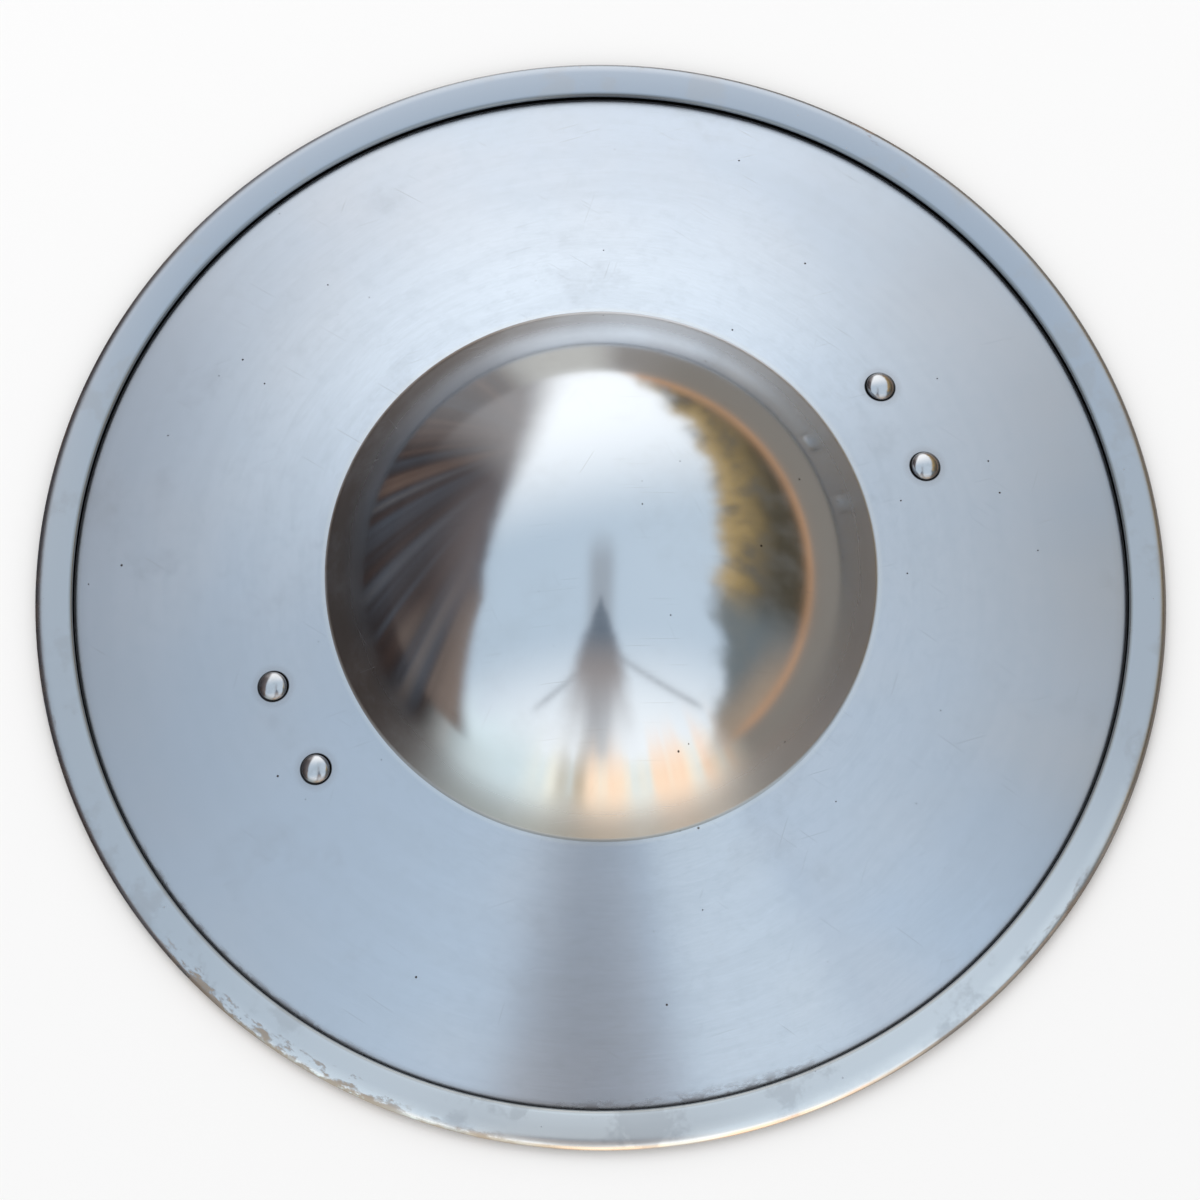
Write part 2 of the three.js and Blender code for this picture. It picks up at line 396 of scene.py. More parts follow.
# %% [markdown]
# ### The ground, and who sees what
# The wall of the boss is so steep that its foot mirrors what lies below the horizon. The tent
# ends there in a plain ground. Mirror rays see the tent, the camera sees a plain white backdrop
# and everything else is lit by plain soft white.

# %% Ground of the tent
PLAIN_LIGHT = 0.9
# Clock angles of the stretches of the ground
STREAKED_SIDE = 172
HAZY_GROUND = 106
PALE_GROUND = 100


def lay_ground(sky, near_end, cloth, streaked):
    """Grey below the horizon, with the left flag's streaks and the warm cloth running on."""
    ground = tent.mix(tent.bearing(STREAKED_SIDE).rise(0.2, 0.62), GROUND_GREY, streaked)
    ground = tent.mix(tent.bearing(HAZY_GROUND).rise(0.82, 1.0) * 0.5, ground, WALL_HAZE)
    ground = tent.mix(tent.bearing(PALE_GROUND).rise(0.97, 0.999) * 0.7, ground, GROUND_FAR)
    ground = tent.mix(near_end, ground, cloth)
    return tent.mix(tent.up.rise(0.015, -0.03), sky, ground)


hung = lay_ground(walls, near_end, sunny, streaked)
plain_light = tent.node("ShaderNodeBackground", {}, {"Color": WHITE, "Strength": PLAIN_LIGHT})
mirrored = tent.node("ShaderNodeBackground", {}, {"Color": hung, "Strength": 1.0})
backdrop = tent.node("ShaderNodeBackground", {}, {"Color": WHITE, "Strength": 1.0})
is_mirror = tent.node("ShaderNodeLightPath", output="Is Glossy Ray")
is_camera = tent.node("ShaderNodeLightPath", output="Is Camera Ray")
shown = tent.node("ShaderNodeMixShader", {}, {0: is_mirror, 1: plain_light, 2: mirrored})
shown = tent.node("ShaderNodeMixShader", {}, {0: is_camera, 1: shown, 2: backdrop})
tent.node("ShaderNodeOutputWorld", {}, {"Surface": shown})
bpy.context.scene.view_settings.view_transform = "Standard"
print("tent of", len(tent.tree.nodes), "nodes")

# %% [markdown]
# ### Floor, lamp and the slim flag
# The floor is a matt pale card that mirror rays don't see. From below it is clear, so that the
# back of the shield can be looked at. The slim flag is a real card that stands on the viewer's
# side of the shield: being near, it is mirrored in one place by the boss and in another by the
# dish. It is a soft grey shape, narrow at the top and pale and streaked at its foot. A wide lamp
# hangs over the far side for the soft shadow on the floor, and mirror rays don't see it.

# %% Floor, lamp and the slim flag behind the camera
FLOOR_HALF = 12.0
FLOOR_SINK = 0.2 * MM
FLOOR_COLOUR = (0.9, 0.9, 0.9, 1.0)
# Heights of the flag's outline, from the top down
FLAG_TOP = 1.7
FLAG_NECK = 1.42
FLAG_SHOULDER = 1.0
FLAG_SKIRT = 0.6
FLAG_FOOT = 0.05
# Half widths: of the whole flag, of its neck as a share of that, and what the skirt adds
FLAG_HALF = 0.06
FLAG_NECK_SHARE = 0.4
FLAG_FLARE = 0.034
FLAG_CARD_HALF = FLAG_HALF * 3
FLAG_BEHIND = 0.36
FLAG_COLOUR = (0.19, 0.23, 0.28, 1.0)
FLAG_FOOT_COLOUR = (0.42, 0.37, 0.35, 1.0)
LAMP_SIZE = 1.4
LAMP_POWER = 9.0
LAMP_DISTANCE = 2.0
LAMP_CLOCK = 110
LAMP_LEAN = 0.6


def new_object(name, mesh):
    made = bpy.data.objects.new(name, mesh)
    bpy.context.scene.collection.objects.link(made)
    return made


def stage_card(name, corners, surface):
    """A flat card that isn't part of the object. surface(tree) makes its shader."""
    mesh = bpy.data.meshes.new(name)
    mesh.from_pydata(corners, [], [tuple(range(len(corners)))])
    material = bpy.data.materials.new(name)
    material.use_nodes = True
    tree = Tree(material.node_tree)
    tree.node("ShaderNodeOutputMaterial", {}, {"Surface": surface(tree)})
    mesh.materials.append(material)
    card = new_object(name, mesh)
    return card


def floor_surface(tree):
    """Matt and pale from above, and clear from below, so that the back can be looked at."""
    matt = tree.node("ShaderNodeBsdfDiffuse", {}, {"Color": FLOOR_COLOUR})
    clear = tree.node("ShaderNodeBsdfTransparent")
    below = tree.node("ShaderNodeNewGeometry", output="Backfacing")
    return tree.node("ShaderNodeMixShader", {}, {0: below, 1: matt, 2: clear})


def flag_surface(tree):
    """Slim at the top, wide in the middle, soft at its sides, paler and streaked at its foot."""
    place = tree.node("ShaderNodeTexCoord", output="Object")
    height = tree.node("ShaderNodeSeparateXYZ", {}, {0: place}, 2)
    beside = tree.vector("DOT_PRODUCT", place, view_right, output="Value")
    neck = FLAG_HALF * FLAG_NECK_SHARE
    half = height.rise(FLAG_NECK, FLAG_SHOULDER) * (FLAG_HALF - neck) + neck
    half = half + height.rise(FLAG_SHOULDER, FLAG_SKIRT) * FLAG_FLARE
    sway = (tree.noise(place, scale=5.0, detail=2.0) - 0.5) * (FLAG_HALF * 0.5)
    sway = sway + (tree.noise(place, scale=22.0, detail=3.0) - 0.5) * (FLAG_HALF * 0.7)
    shown = (abs(beside + sway) / half).rise(1.25, 0.55) * height.rise(FLAG_FOOT, FLAG_FOOT * 10)
    shown = shown * (height.rise(FLAG_TOP, FLAG_NECK) * 0.4 + 0.6)
    stripes = tree.noise(tree.vector("MULTIPLY", place, (1, 1, 0.05)), scale=45.0, detail=2.0)
    shade = tree.mix(height.rise(0.35, 0.8), FLAG_FOOT_COLOUR, FLAG_COLOUR)
    shade = tree.mix(stripes.rise(0.45, 0.65) * height.rise(0.4, 0.1) * 0.4, shade, WHITE)
    clear = tree.node("ShaderNodeBsdfTransparent")
    dark = tree.node("ShaderNodeEmission", {}, {"Color": shade})
    return tree.node("ShaderNodeMixShader", {}, {0: shown, 1: clear, 2: dark})


SQUARE = ((-1, -1), (1, -1), (1, 1), (-1, 1))
floor_corners = [(x * FLOOR_HALF, y * FLOOR_HALF, -FLOOR_SINK) for x, y in SQUARE]
floor = stage_card("floor", floor_corners, floor_surface)
floor.visible_glossy = False

flag_corners = []
for side, rise in SQUARE:
    foot = view_right * (FLAG_CARD_HALF * side) - view_away * FLAG_BEHIND
    flag_corners.append(foot + Vector((0, 0, FLAG_TOP if rise > 0 else FLAG_FOOT)))
flag = stage_card("slim_flag", flag_corners, flag_surface)
flag.visible_camera = False
flag.visible_diffuse = False
flag.visible_shadow = False

lamp_data = bpy.data.lights.new("soft_lamp", "AREA")
lamp_data.size = LAMP_SIZE
lamp_data.energy = LAMP_POWER
lamp = new_object("soft_lamp", lamp_data)
lamp_from = (clock(LAMP_CLOCK) * LAMP_LEAN + Vector((0, 0, 1))).normalized()
lamp.location = lamp_from * LAMP_DISTANCE
lamp.rotation_mode = "QUATERNION"
lamp.rotation_quaternion = lamp_from.to_track_quat("Z", "Y")
lamp.visible_glossy = False
print("lamp at", [round(c, 2) for c in lamp.location])

# %% [markdown]
# ## The shield's section
# The body is one sheet, so its section is one line with a thickness. The line is walked like a
# bent wire: arcs and a few straights, each starting where the last one stopped. It runs
# from the top of the boss, down its wall, round a crisp crease, over the dish, down a small step,
# out under the band, round the fold and back along the band to its lip.

# %% Section of the sheet
SHIELD_RADIUS = cad_high.x
SHEET = 1.5 * MM
BOSS_BASE_RADIUS = 72.5 * MM
BOSS_TOP_RADIUS = 77 * MM
BOSS_WALL_ANGLE = math.radians(53.5)
CREASE_RADIUS = 2.2 * MM
DISH_RADIUS = 498 * MM - SHEET / 2
DISH_EDGE_RADIUS = 138.4 * MM
STEP_ANGLE = math.radians(62)
STEP_OUTER_BEND = 1.5 * MM
STEP_INNER_BEND = 1.4 * MM
FOLD_BEND = 1.2 * MM
EDGE_ROLL_BEND = 5 * MM
EDGE_ROLL_ANGLE = math.radians(17)
BAND_WIDTH = 10 * MM
BAND_CROWN = math.radians(5)
LIP_STEPS = 6

BOSS, DISH, BAND, BACK = range(4)


class SheetLine:
    """The middle of the sheet's section, walked outwards from the axis."""
    def __init__(self):
        self.r = self.z = self.heading = 0.0
        self.finish = BOSS
        self.points = [(0.0, 0.0, 0.0, BOSS)]

    def walk(self, length, turn, steps):
        """Walks that far in all, and turns evenly by that much on the way."""
        half_turn = turn / steps / 2
        chord = length / steps * (math.sin(half_turn) / half_turn if half_turn else 1.0)
        for _ in range(steps):
            self.heading += half_turn
            self.r += chord * math.cos(self.heading)
            self.z += chord * math.sin(self.heading)
            self.heading += half_turn
            self.points.append((self.r, self.z, self.heading, self.finish))

    def arc(self, radius, turn, steps):
        self.walk(radius * abs(turn), turn, steps)


def shield_line():
    """Points of (radius, height, heading, finish), and the height of the dish's centre."""
    line = SheetLine()
    dish_start = math.asin(BOSS_BASE_RADIUS / DISH_RADIUS)
    dish_end = math.asin(DISH_EDGE_RADIUS / DISH_RADIUS)
    line.arc(BOSS_TOP_RADIUS, -BOSS_WALL_ANGLE, steps=36)
    crease_reach = CREASE_RADIUS * (math.sin(BOSS_WALL_ANGLE) - math.sin(dish_start))
    wall = (BOSS_BASE_RADIUS - crease_reach - line.r) / math.cos(BOSS_WALL_ANGLE)
    line.walk(wall, 0.0, steps=6)
    line.arc(CREASE_RADIUS, BOSS_WALL_ANGLE - dish_start, steps=10)
    line.finish = DISH
    line.arc(DISH_RADIUS, dish_start - dish_end, steps=26)
    dish_centre = line.z - DISH_RADIUS * math.cos(dish_end)
    line.arc(STEP_OUTER_BEND, dish_end - STEP_ANGLE, steps=7)
    line.arc(STEP_INNER_BEND, STEP_ANGLE, steps=6)
    line.finish = BAND
    line.walk(SHIELD_RADIUS - SHEET / 2 - FOLD_BEND - line.r, 0.0, steps=3)
    lift = SHEET / 2 - line.z
    line.arc(FOLD_BEND, math.pi - EDGE_ROLL_ANGLE - BAND_CROWN, steps=18)
    line.arc(EDGE_ROLL_BEND, EDGE_ROLL_ANGLE, steps=6)
    band = line.r - (SHIELD_RADIUS - BAND_WIDTH + SHEET / 2)
    line.arc(band / math.sin(BAND_CROWN), BAND_CROWN, steps=8)
    points = [(r, z + lift, heading, finish) for r, z, heading, finish in line.points]
    return points, dish_centre + lift


LINE, DISH_CENTRE = shield_line()


def outline(points):
    """The closed section of the sheet: out along the back, round the lip, home along the front."""
    def side(point, sign):
        r, z, heading, finish = point
        reach = sign * SHEET / 2
        return (max(0.0, r - reach * math.sin(heading)), z + reach * math.cos(heading), finish)

    lip_r, lip_z, heading, _ = points[-1]
    lip = []
    for i in range(1, LIP_STEPS):
        angle = heading - math.pi / 2 + math.pi * i / LIP_STEPS
        lip.append((lip_r + SHEET / 2 * math.cos(angle), lip_z + SHEET / 2 * math.sin(angle), BAND))
    back = [(*side(p, -1)[:2], BAND if p[3] == BAND else BACK) for p in points]
    front = [side(p, 1) for p in reversed(points)]
    return back + lip + front


OUTLINE = outline(LINE)
print("outline of", len(OUTLINE), "points, boss top at", round(max(p[1] for p in OUTLINE) / MM, 2), "mm")

# %% [markdown]
# ## Steel
# Real polished steel is a mirror with hair-fine scratches. On this shield they all run round the
# axis, as a spun or belt-polished sheet has them, so reflections smear outwards along the
# radius. The shader's own Anisotropic value does that: its default direction already circles the
# object's Z axis, and a quarter turn of its rotation lays the smear across the scratches. Only
# colour, roughness and a faint bump change over the surface. The class below holds a surface
# while wear, dirt and painted light and shade are laid on it, one coat over the other.

# %% A surface mixed coat by coat
NARROWEST_STRETCH = 0.2
# How fast the noise of the scratches changes, in steps a metre: along them and across them
SCRATCHES_ALONG = 45.0
SCRATCHES_ACROSS = 2600.0


class Steel:
    """A steel surface being mixed: its colour and roughness so far, and where it is."""
    def __init__(self, name, colour, roughness):
        self.material = bpy.data.materials.new(name)
        self.material.use_nodes = True
        self.tree = Tree(self.material.node_tree)
        self.place = self.tree.node("ShaderNodeTexCoord", output="Object")
        self.height = self.tree.node("ShaderNodeSeparateXYZ", {}, {0: self.place}, 2)
        level = self.tree.vector("MULTIPLY", self.place, (1, 1, 0))
        self.radius = self.tree.vector("LENGTH", level, output="Value")
        self.turn = self.tree.vector("NORMALIZE", level)
        self.colour = colour
        self.roughness = roughness
        self.relief = 0.0

    def towards(self, degrees):
        """1 where the surface lies at that clock angle, falling to -1 on the other side."""
        return self.tree.vector("DOT_PRODUCT", self.turn, clock(degrees), output="Value")

    def stretch(self, degrees, half, soft=2.0):
        """1 round that clock angle, fading to 0 where the stretch ends, half degrees away."""
        narrow, wide = (math.radians(max(half + edge, NARROWEST_STRETCH)) for edge in (-soft, soft))
        return self.towards(degrees).rise(math.cos(wide), math.cos(narrow))

    def noise(self, scale, detail=3.0, roughness=0.5):
        return self.tree.noise(self.place, scale, detail, roughness)

    def brush_lines(self, fineness, around):
        """Lines that run round the axis: noise that changes fast outwards and slowly round."""
        rings = self.tree.node("ShaderNodeCombineXYZ", {}, {2: self.radius * (fineness / MM)})
        swung = self.tree.vector("MULTIPLY", self.turn, (around, around, 0))
        return self.tree.noise(self.tree.vector("ADD", rings, swung), scale=1.0, detail=4.0, roughness=0.65)

    def specks(self, spacing, size, share):
        """Small round dots, up to that size, on that share of a field of cells."""
        field = {"voronoi_dimensions": "2D"}
        apart = self.tree.node("ShaderNodeTexVoronoi", field, {"Vector": self.place, "Scale": 1 / spacing})
        # A Math node makes one number of the cell's random colour
        luck = Term(self.tree, apart.socket.node.outputs["Color"]) + 0.0
        reach = luck.rise(1 - share, 1.0) * (size / spacing)
        return apart.rise(reach, reach * 0.5) * luck.rise(1 - share, 1.01 - share)

    def scratches(self, degrees, share):
        """Fine straight scratches that all run at that clock angle."""
        along = self.tree.vector("DOT_PRODUCT", self.place, clock(degrees), output="Value")
        beside = self.tree.vector("DOT_PRODUCT", self.place, clock(degrees + 90), output="Value")
        values = {0: along * SCRATCHES_ALONG, 1: beside * SCRATCHES_ACROSS, 2: degrees}
        drawn = self.tree.noise(self.tree.node("ShaderNodeCombineXYZ", {}, values), scale=1.0, detail=1.0)
        return drawn.rise(1 - share, 1.04 - share)

    def roughen(self, amount):
        """Adds that much to the roughness, or takes it away where it is below 0."""
        self.roughness = amount + self.roughness

    def coat(self, mask, colour, roughness=0.0):
        """Lays a colour over the surface where the mask is, and roughens it by that much."""
        self.colour = self.tree.mix(mask, self.colour, colour)
        self.roughen(mask * roughness)

    def finish(self, anisotropic, relief_depth=0.0):
        """Makes the shader of what has been mixed, and returns the material."""
        values = {"Metallic": 1.0, "Anisotropic": anisotropic, "Anisotropic Rotation": 0.25}
        values |= {"Base Color": self.colour, "Roughness": self.roughness}
        if relief_depth:
            height = {"Height": self.relief, "Distance": relief_depth}
            values["Normal"] = self.tree.node("ShaderNodeBump", {}, height)
        shader = self.tree.node("ShaderNodeBsdfPrincipled", {}, values)
        self.tree.node("ShaderNodeOutputMaterial", {}, {"Surface": shader})
        print(self.material.name, "has", len(self.tree.tree.nodes), "nodes")
        return self.material


print("a Steel can be given", [name for name in vars(Steel) if not name.startswith("_")])

# %% [markdown]
# ### The dish
# The dish has a satin brush over a cool grey sheet: a little warm in places, clouded by handling,
# with hair scratches and a few dark specks. Its colour also carries painted light and shade: a
# painted light on the far side of the boss, a painted highlight on the near side, painted shade
# out towards its two sides and on the near left, painted shade round the rivets and along the
# groove by the lip, and a painted highlight along the crease. Dirt gathers on the near side in the
# gutter in front of the lip.

# %% Finish of the dish
DISH_STEEL = (0.6, 0.65, 0.725, 1.0)
DISH_WARM = (0.645, 0.665, 0.71, 1.0)
DISH_DULL = (0.51, 0.545, 0.585, 1.0)
# Painted highlight on the near side of the dish
DISH_NEAR_HIGHLIGHT = (0.82, 0.84, 0.86, 1.0)
# Painted light, laid on the far side of the boss
DISH_PAINTED_LIGHT = (0.78, 0.825, 0.885, 1.0)
# Painted shade, towards the dish's two sides and on its near left
DISH_SIDE_SHADE = (0.46, 0.465, 0.49, 1.0)
SMUDGE_GREY = (0.46, 0.47, 0.49, 1.0)
# Painted shade, near black: round the rivet heads, along the groove and under the band's lip
CREVICE_SHADE = (0.012, 0.011, 0.01, 1.0)
# Painted shade, brown: round the rivets, beside the lip and on the side of the outer edge
EDGE_SHADE_BROWN = (0.3, 0.26, 0.24, 1.0)
# Painted highlight along the crease
CREASE_HIGHLIGHT = (0.86, 0.84, 0.79, 1.0)
GUTTER_DARK = (0.16, 0.12, 0.1, 1.0)
# Dark specks; on the rivet heads it is painted shade
SPECK_AND_SHADE = (0.08, 0.07, 0.065, 1.0)
LIP = SHIELD_RADIUS - BAND_WIDTH
RIVET_X = 90 * MM
RIVET_Y = 12.5 * MM
HEAD_RADIUS = 3.9 * MM
# Radii between which the painted light of the far side fades, and the painted shade of the sides grows
PAINTED_LIGHT_START = 74 * MM
PAINTED_LIGHT_END = 128 * MM
SIDE_SHADE_START = 70 * MM
SIDE_SHADE_END = 138 * MM
# Fine scratches: the clock angle that they run at, and how much of the sheet has them
DISH_SCRATCHES = ((148, 0.27), (20, 0.26), (75, 0.25))
# Dirt of the gutter: clock angle, half its length in degrees and its width in mm
GUTTER_DIRT = ((281, 13, 4.2), (229, 16, 2.4))


def rivet_distance(steel):
    """How far the surface is, seen from above, from the nearest of the four rivets."""
    mirrored = steel.tree.vector("ABSOLUTE", steel.tree.vector("MULTIPLY", steel.place, (1, 1, 0)))
    return steel.tree.vector("DISTANCE", mirrored, (RIVET_X, RIVET_Y, 0), output="Value")


def lay_handling(steel, mottle):
    """Clouds, smudges and scratches of use."""
    steel.coat(steel.brush_lines(fineness=0.2, around=2.0).rise(0.4, 0.65) * 0.14, DISH_DULL)
    steel.coat(mottle.rise(0.45, 0.7) * 0.16, DISH_DULL)
    smudge = steel.noise(scale=40.0, detail=5.0, roughness=0.6)
    steel.coat(smudge.rise(0.56, 0.72) * mottle * 0.35, SMUDGE_GREY, 0.05)
    for degrees, share in DISH_SCRATCHES:
        steel.coat(steel.scratches(degrees, share) * smudge.rise(0.42, 0.56) * 0.6, SMUDGE_GREY)
    steel.coat(steel.specks(spacing=9 * MM, size=0.5 * MM, share=0.26), SPECK_AND_SHADE, 0.1)


def lay_dirt_and_painted_light(steel):
    """Painted shade beside the rivets and the lip, a painted highlight by the crease, and dirt in the
    gutter.
    """
    around_rivets = rivet_distance(steel)
    # Painted shade: a brown halo round each rivet
    steel.coat(around_rivets.rise(HEAD_RADIUS + 2.6 * MM, HEAD_RADIUS + 0.3 * MM) * 0.22, EDGE_SHADE_BROWN)
    # Painted shade: a near black ring round each rivet head
    steel.coat(around_rivets.rise(HEAD_RADIUS + 0.45 * MM, HEAD_RADIUS + 0.1 * MM), CREVICE_SHADE, 0.3)
    # Painted shade on the dish beside the lip
    steel.coat(steel.radius.rise(LIP - 2.4 * MM, LIP - 0.6 * MM) * 0.4, EDGE_SHADE_BROWN)
    # Painted highlight: a pale line beside the crease
    crease_highlight = steel.radius.rise(BOSS_BASE_RADIUS + 1.6 * MM, BOSS_BASE_RADIUS + 0.4 * MM)
    steel.coat(crease_highlight * 0.25, CREASE_HIGHLIGHT)
    smear = steel.brush_lines(fineness=0.5, around=30.0)
    for degrees, half, wide in GUTTER_DIRT:
        near_lip = steel.radius.rise(LIP - wide * MM, LIP - 0.8 * MM)
        smeared = near_lip * steel.stretch(degrees, half, soft=5.0) * smear.rise(0.45, 0.6)
        steel.coat(smeared * 0.45, GUTTER_DARK, 0.2)
    # Painted shade: near black along the groove by the lip
    steel.coat(steel.radius.rise(LIP - 0.55 * MM, LIP - 0.15 * MM), CREVICE_SHADE, 0.4)


def dish_finish():
    steel = Steel("shield_steel", DISH_STEEL, roughness=0.24)
    lines = steel.brush_lines(fineness=4.0, around=22.0)
    steel.coat(steel.noise(scale=14.0).rise(0.35, 0.65), DISH_WARM)
    # Painted highlight: a pale stretch on the near side
    steel.coat(steel.stretch(291, half=7, soft=6.0) * 0.5, DISH_NEAR_HIGHLIGHT)
    # Painted light: brighter on the far side of the boss, fading outwards
    beside_boss = steel.radius.rise(PAINTED_LIGHT_END, PAINTED_LIGHT_START)
    steel.coat(steel.towards(105).rise(0.1, 0.9) * beside_boss, DISH_PAINTED_LIGHT)
    # Painted shade: darker towards the two sides, more on the right
    sides = abs(steel.towards(12)).rise(0.45, 1.0) * steel.radius.rise(SIDE_SHADE_START, SIDE_SHADE_END)
    steel.coat(sides * (steel.towards(0).rise(-0.5, 0.5) * 0.2 + 0.27), DISH_SIDE_SHADE)
    # Painted shade on the near left
    steel.coat(steel.towards(218).rise(0.8, 1.0) * 0.22, DISH_SIDE_SHADE)
    steel.coat((1 - lines).rise(0.4, 0.6) * 0.12, DISH_DULL)
    lay_handling(steel, steel.noise(scale=230.0, detail=5.0, roughness=0.7))
    lay_dirt_and_painted_light(steel)
    steel.roughen((lines - 0.5) * 0.03)
    steel.relief = lines
    return steel.finish(anisotropic=1.0, relief_depth=0.0003 * MM)


dish_steel = dish_finish()

# %% [markdown]
# ### The boss
# The boss is polished brighter than the dish, nearly to a mirror. Polishing stops short of the
# crease, so the wall is rougher low down; there its colour carries painted shade, brown and
# heaviest on the left, grey at the foot on the near side. There are fine pits and scratches on top.

# %% Finish of the boss
BOSS_STEEL = (0.665, 0.695, 0.73, 1.0)
BOSS_HAZE = (0.56, 0.57, 0.58, 1.0)
# Painted shade low on the boss wall: brown, and grey at the foot on the near side
BOSS_WALL_SHADE = (0.2, 0.155, 0.125, 1.0)
BOSS_FOOT_SHADE = (0.36, 0.35, 0.32, 1.0)
BOSS_SCRATCHES = ((5, 0.28), (118, 0.26), (62, 0.25))


def boss_finish():
    steel = Steel("boss_steel", BOSS_STEEL, roughness=0.11)
    steel.roughen((steel.brush_lines(fineness=1.2, around=5.0) - 0.5) * 0.06)
    low_wall = steel.radius.rise(BOSS_BASE_RADIUS - 12 * MM, BOSS_BASE_RADIUS - 3 * MM)
    steel.roughen(low_wall * 0.15)
    # Painted shade low on the wall: brown, heaviest on the left; grey at the foot on the near side
    near = steel.towards(272).rise(0.5, 0.9)
    brown = steel.towards(185).rise(-0.3, 0.6) * 0.5 + 0.3
    steel.coat(low_wall * (1 - near) * brown, BOSS_WALL_SHADE, 0.12)
    foot = steel.radius.rise(BOSS_BASE_RADIUS - 10 * MM, BOSS_BASE_RADIUS)
    steel.coat(foot * near * 0.8, BOSS_FOOT_SHADE, 0.1)
    # Painted shade higher up the wall on the left
    higher = steel.radius.rise(BOSS_BASE_RADIUS - 17 * MM, BOSS_BASE_RADIUS - 9 * MM)
    steel.coat(higher * steel.towards(170).rise(0.0, 0.7) * 0.5, BOSS_WALL_SHADE)
    haze = steel.noise(scale=45.0, detail=5.0, roughness=0.65)
    steel.coat(haze.rise(0.45, 0.7) * 0.25, BOSS_HAZE, 0.05)
    for degrees, share in BOSS_SCRATCHES:
        steel.coat(steel.scratches(degrees, share) * 0.45, BOSS_HAZE, 0.1)
    steel.coat(steel.specks(spacing=7 * MM, size=0.42 * MM, share=0.28), SPECK_AND_SHADE, 0.1)
    return steel.finish(anisotropic=0.6)


boss_steel = boss_finish()

# %% [markdown]
# ### The band
# The folded band is water-marked here and there. Its colour carries painted light and shade: paler
# on the near side with a painted highlight along the outer roll there, painted shade on its far
# side and towards its left and right, and painted shade in the groove beside its lip and on the
# side of its outer edge. Brown stains creep in from the outer edge in thin ragged patches.

# %% Finish of the band
BAND_STEEL = (0.54, 0.56, 0.59, 1.0)
BAND_FAR_SHADE = (0.44, 0.48, 0.54, 1.0)
BAND_NEAR_LIGHT = (0.76, 0.765, 0.77, 1.0)
# Dull water marks and specks, and painted shade at the left and right
BAND_DULL_AND_SHADE = (0.47, 0.475, 0.49, 1.0)
ROLL_HIGHLIGHT = (0.92, 0.91, 0.89, 1.0)
LIP_SHADE = (0.18, 0.175, 0.15, 1.0)
RUST = (0.46, 0.36, 0.28, 1.0)
RUST_DARK = (0.2, 0.14, 0.11, 1.0)
# Stains of the outer edge: clock angle, half its length in degrees, reach in mm, strength
EDGE_STAINS = ((232, 9, 2.6, 0.9), (246, 4, 3.0, 0.9), (257, 5, 1.2, 0.7), (196, 16, 1.1, 0.6),
               (325, 4, 1.6, 0.6), (55, 3, 1.2, 0.5), (62, 1, 2.2, 0.7), (140, 5, 1.4, 0.4))


def lay_edge_stains(steel):
    """Ragged brown patches that reach in from the outer edge, each with a dark rim."""
    rag = steel.brush_lines(fineness=0.5, around=26.0)
    wisps = steel.noise(scale=260.0, detail=5.0, roughness=0.7)
    for degrees, half, reach, strength in EDGE_STAINS:
        edge_in = SHIELD_RADIUS - (rag.rise(0.3, 0.8) - 0.2) * (reach * 2.2 * MM)
        over = (steel.radius - edge_in) / MM + (wisps - 0.5) * 1.6
        spot = steel.stretch(degrees, half, soft=3.0)
        steel.coat(over.rise(-1.3, 0.2) * spot * strength * 0.45, RUST_DARK, 0.1)
        steel.coat(over.rise(-0.4, 1.2) * spot * strength, RUST, 0.15)


def band_finish():
    steel = Steel("band_steel", BAND_STEEL, roughness=0.2)
    steel.roughen((steel.brush_lines(fineness=1.6, around=10.0) - 0.5) * 0.06)
    cloud = steel.noise(scale=60.0, detail=5.0, roughness=0.6)
    steel.coat(cloud.rise(0.5, 0.7) * 0.6, BAND_DULL_AND_SHADE)
    # Painted shade: darker towards the left and right
    steel.coat(abs(steel.towards(170)).rise(0.6, 0.95) * 0.45, BAND_DULL_AND_SHADE)
    # Painted shade: darker on the far side
    steel.coat(steel.towards(90).rise(0.05, 0.7) * 0.9, BAND_FAR_SHADE)
    # Painted light: paler on the near side
    near = steel.towards(284).rise(0.4, 0.95)
    steel.coat(near * 0.9, BAND_NEAR_LIGHT)
    # Painted highlight along the outer roll on the near side, and on a stretch straight in front
    rolled = steel.radius.rise(LIP + 5 * MM, LIP + 8.6 * MM)
    steel.coat(near * rolled * cloud.rise(0.62, 0.42) * 0.7, ROLL_HIGHLIGHT)
    steel.coat(steel.stretch(270, half=6, soft=5.0) * 0.45, ROLL_HIGHLIGHT)
    steel.coat(cloud.rise(0.54, 0.62) * 0.4, BAND_DULL_AND_SHADE, 0.08)
    steel.coat(steel.specks(spacing=5 * MM, size=0.5 * MM, share=0.3), BAND_DULL_AND_SHADE, 0.1)
    # Painted shade on the band beside its lip
    steel.coat(steel.radius.rise(LIP + 1.3 * MM, LIP + 0.4 * MM) * 0.55, LIP_SHADE)
    # Painted shade: near black on the band down in the groove
    in_groove = steel.height.rise(3.0 * MM, 2.4 * MM) * steel.radius.rise(LIP + 6 * MM, LIP + 5 * MM)
    steel.coat(in_groove, CREVICE_SHADE, 0.4)
    # Painted shade on the side of the outer edge
    side_of_edge = steel.height.rise(2.9 * MM, 2.2 * MM) * steel.radius.rise(LIP + 6 * MM, LIP + 7 * MM)
    steel.coat(side_of_edge * 0.75, EDGE_SHADE_BROWN, 0.1)
    lay_edge_stains(steel)
    return steel.finish(anisotropic=0.9)


band_steel = band_finish()

# %% [markdown]
# ### The back, the grip and the rivets
# The hidden side is finished plainly: a dull satin with dark blooms of old mill scale, stray
# scratches and a few rust freckles. The grip is the same steel, worn a little brighter along its
# bar by the hand. The rivet heads are polished on top, with painted shade low down round their edge.

